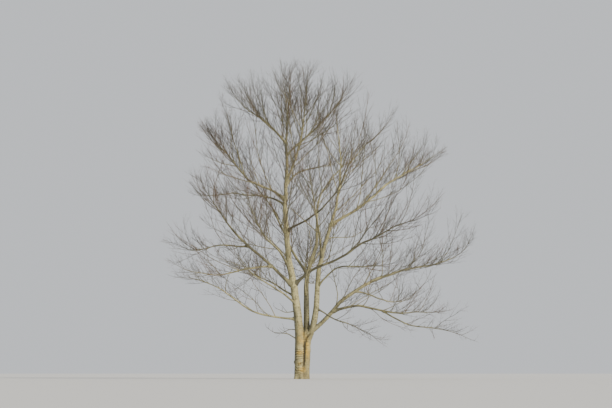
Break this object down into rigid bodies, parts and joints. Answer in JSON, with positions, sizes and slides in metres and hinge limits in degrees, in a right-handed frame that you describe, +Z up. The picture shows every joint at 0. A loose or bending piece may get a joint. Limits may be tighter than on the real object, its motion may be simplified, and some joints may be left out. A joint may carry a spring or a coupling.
{
  "type": "bare winter tree",
  "caption": "Leafless broad-crowned tree rooted in the ground: a short double bole, steep leaders, spreading side boughs and masses of fine ascending twigs.",
  "frame": {"origin": "on the ground under the bole, in the flat cut at ground level, which is the mount ground", "axes": "+Z up the trunk, +X to the right and -Y towards a viewer who sees the tree as the picture shows it"},
  "size_m": [13.8869, 9.5936, 14.1064],
  "materials": {
    "bark": "matt, finely ringed grey-tan bark",
    "twigs": "matt grey-brown twigs"
  },
  "bodies": {
    "root": {"trunk": "bark", "left_leader": "bark", "middle_leader": "bark", "right_leader": "bark", "low_right": "bark", "left_sweep": "bark", "left_reach": "bark", "left_trail": "bark", "front_left": "bark", "upper_left": "bark", "level_left": "bark", "lowest_left": "bark", "back_left_low": "bark", "back_right_high": "bark", "top_left": "bark", "top_right": "bark", "mid_right": "bark", "front_cross": "bark", "front_right": "bark", "front_rise": "bark", "back_left": "bark", "upper_right": "bark", "hanging_right": "bark", "lower_right": "bark", "lowest_right": "bark", "back_right_low": "bark", "back_low": "bark", "back_right": "bark", "front_high": "bark", "front_left_low": "bark", "left_leader_twigs": "twigs", "middle_leader_twigs": "twigs", "right_leader_twigs": "twigs", "low_right_twigs": "twigs", "left_sweep_twigs": "twigs", "left_reach_twigs": "twigs", "left_trail_twigs": "twigs", "front_left_twigs": "twigs", "upper_left_twigs": "twigs", "level_left_twigs": "twigs", "lowest_left_twigs": "twigs", "back_left_low_twigs": "twigs", "back_right_high_twigs": "twigs", "top_left_twigs": "twigs", "top_right_twigs": "twigs", "mid_right_twigs": "twigs", "front_cross_twigs": "twigs", "front_right_twigs": "twigs", "front_rise_twigs": "twigs", "back_left_twigs": "twigs", "upper_right_twigs": "twigs", "hanging_right_twigs": "twigs", "lower_right_twigs": "twigs", "lowest_right_twigs": "twigs", "back_right_low_twigs": "twigs", "back_low_twigs": "twigs", "back_right_twigs": "twigs", "front_high_twigs": "twigs", "front_left_low_twigs": "twigs"}
  },
  "joints": []
}
